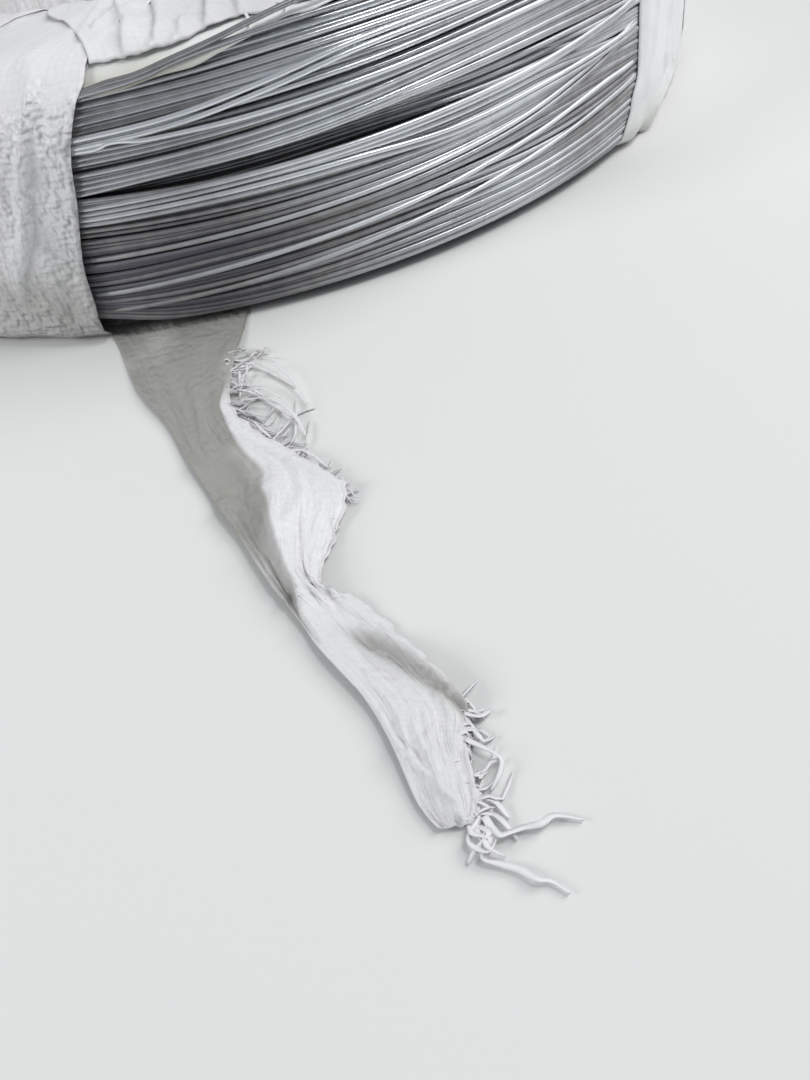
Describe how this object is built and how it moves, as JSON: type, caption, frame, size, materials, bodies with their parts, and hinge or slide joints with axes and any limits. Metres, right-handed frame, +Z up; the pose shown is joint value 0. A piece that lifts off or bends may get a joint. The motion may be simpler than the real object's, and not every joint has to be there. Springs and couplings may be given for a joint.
{
  "type": "coil of galvanized binding wire",
  "caption": "Round coil of thin galvanized tying wire in a woven strip sleeve, opened on one side, with a film liner and the strip's loose end.",
  "frame": {"origin": "centre of the coil: on the axis of its eye, at half its height", "axes": "+Z up along the eye's axis, -Y towards the side where the sleeve is open and its loose end lies"},
  "size_m": [0.4642, 0.6661, 0.0882],
  "materials": {
    "galvanized_wire": "bright zinc coating, slightly dull in places",
    "liner_film": "milky, smooth film in several layers",
    "woven_strip": "woven flat plastic tape, satin, creased and a little dirty"
  },
  "bodies": {
    "root": {"wire_coil": "galvanized_wire", "film_liner": "liner_film", "woven_sleeve": "woven_strip", "strip_tail": "woven_strip"}
  },
  "joints": []
}
